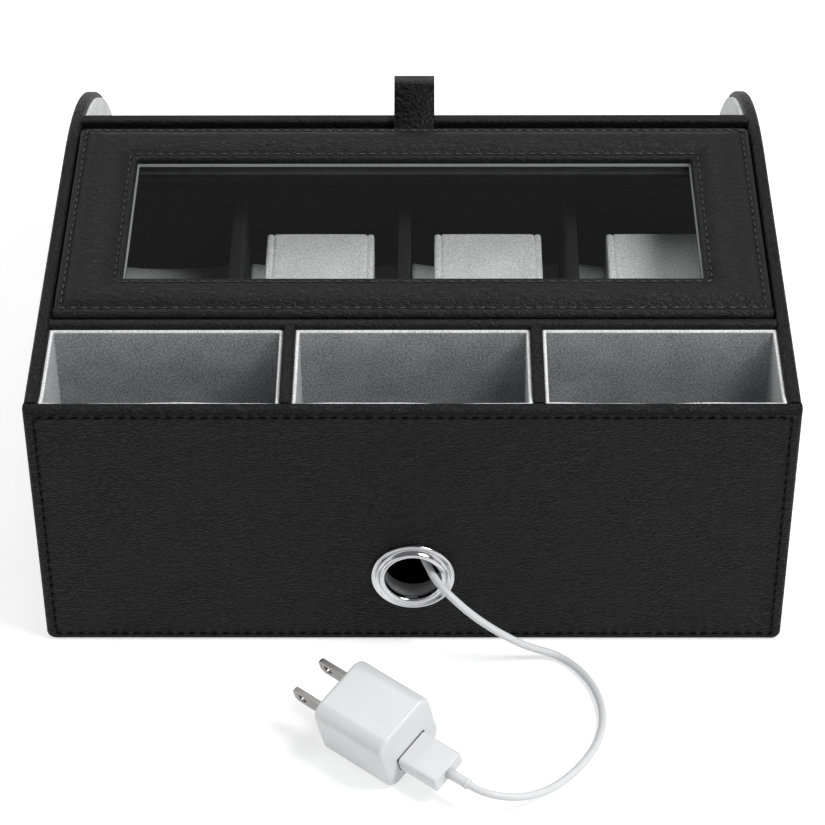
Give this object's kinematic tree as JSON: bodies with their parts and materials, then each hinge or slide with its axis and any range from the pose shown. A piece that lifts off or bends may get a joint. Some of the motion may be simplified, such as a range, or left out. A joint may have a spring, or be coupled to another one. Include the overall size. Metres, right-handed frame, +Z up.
{
  "type": "charging valet station",
  "caption": "Leather-wrapped desk valet with a glazed watch case, open device pockets, a front tray, a drawer and a corded wall charger",
  "frame": {"origin": "middle of the footprint on the floor, charger and lead not counted", "axes": "+Z up, -Y towards the user (tray and drawer), +Y towards the back panel and its grommet"},
  "size_m": [0.24, 0.3336, 0.1064],
  "materials": {
    "base_felt": "pressed felt",
    "black_velvet": "deep short pile",
    "blade_nickel": "satin nickel",
    "board_wood": "fibreboard, left plain",
    "bright_chrome": "mirror polished",
    "bright_steel": "ground",
    "dark_board": "painted board",
    "grey_suede": "soft short nap",
    "lid_leather": "matte, fine wrinkled grain over thin padding",
    "pale_suede": "soft short nap",
    "pillow_suede": "soft short nap over foam",
    "shell_leather": "matte, fine wrinkled grain, stitched near its edges",
    "tab_leather": "satin, coarse pebbled grain",
    "tie_black": "hook-and-loop strip",
    "white_cord": "smooth, soft sheen",
    "white_gloss": "glossy",
    "window_glass": "clear, polished"
  },
  "bodies": {
    "carcase": {"back_panel": "shell_leather", "base_felt": "base_felt", "base_panel": "dark_board", "bay_wall": "dark_board", "case_front_wall": "shell_leather", "case_rear_wall": "shell_leather", "charger_blades": "blade_nickel", "charger_body": "white_gloss", "cord_coil": "white_cord", "cord_lead": "white_cord", "cord_tie": "tie_black", "deck_panel": "dark_board", "device_connector": "white_gloss", "front_rail": "shell_leather", "grommet_eyelet": "bright_chrome", "grommet_washer": "bright_chrome", "hinge_strip": "shell_leather", "left_side_panel": "shell_leather", "lid_stop_strip": "dark_board", "plug_shell": "bright_steel", "plug_strain_relief": "white_gloss", "pocket_divider_left": "shell_leather", "pocket_divider_right": "shell_leather", "pocket_floor": "dark_board", "pocket_lining_centre": "grey_suede", "pocket_lining_left": "grey_suede", "pocket_lining_right": "grey_suede", "right_side_panel": "shell_leather", "tray_floor_lining": "grey_suede", "tray_rear_lining": "grey_suede", "usb_plug": "white_gloss", "watch_divider_1": "black_velvet", "watch_divider_2": "black_velvet", "watch_divider_3": "black_velvet", "watch_floor_pads": "pillow_suede", "watch_insert": "black_velvet", "watch_pillow_1": "pillow_suede", "watch_pillow_2": "pillow_suede", "watch_pillow_3": "pillow_suede", "wing_lining_left": "pale_suede", "wing_lining_right": "pale_suede"},
    "lid": {"lid_backing": "black_velvet", "lid_cover": "lid_leather", "lid_frame": "dark_board", "lid_glass": "window_glass", "lid_glazing_bead": "dark_board", "lid_tab": "tab_leather"},
    "drawer": {"drawer_box": "board_wood", "drawer_front": "shell_leather", "drawer_lining": "grey_suede", "drawer_tab": "tab_leather"}
  },
  "joints": [
    {"name": "lid_hinge", "type": "hinge", "parent": "carcase", "child": "lid", "pos_m": [0, 0.0767, 0.096], "axis": [-1, 0, 0], "range_deg": [0, 95]},
    {"name": "drawer_slide", "type": "slide", "parent": "carcase", "child": "drawer", "axis": [0, -1, 0], "range_m": [0, 0.12]}
  ]
}
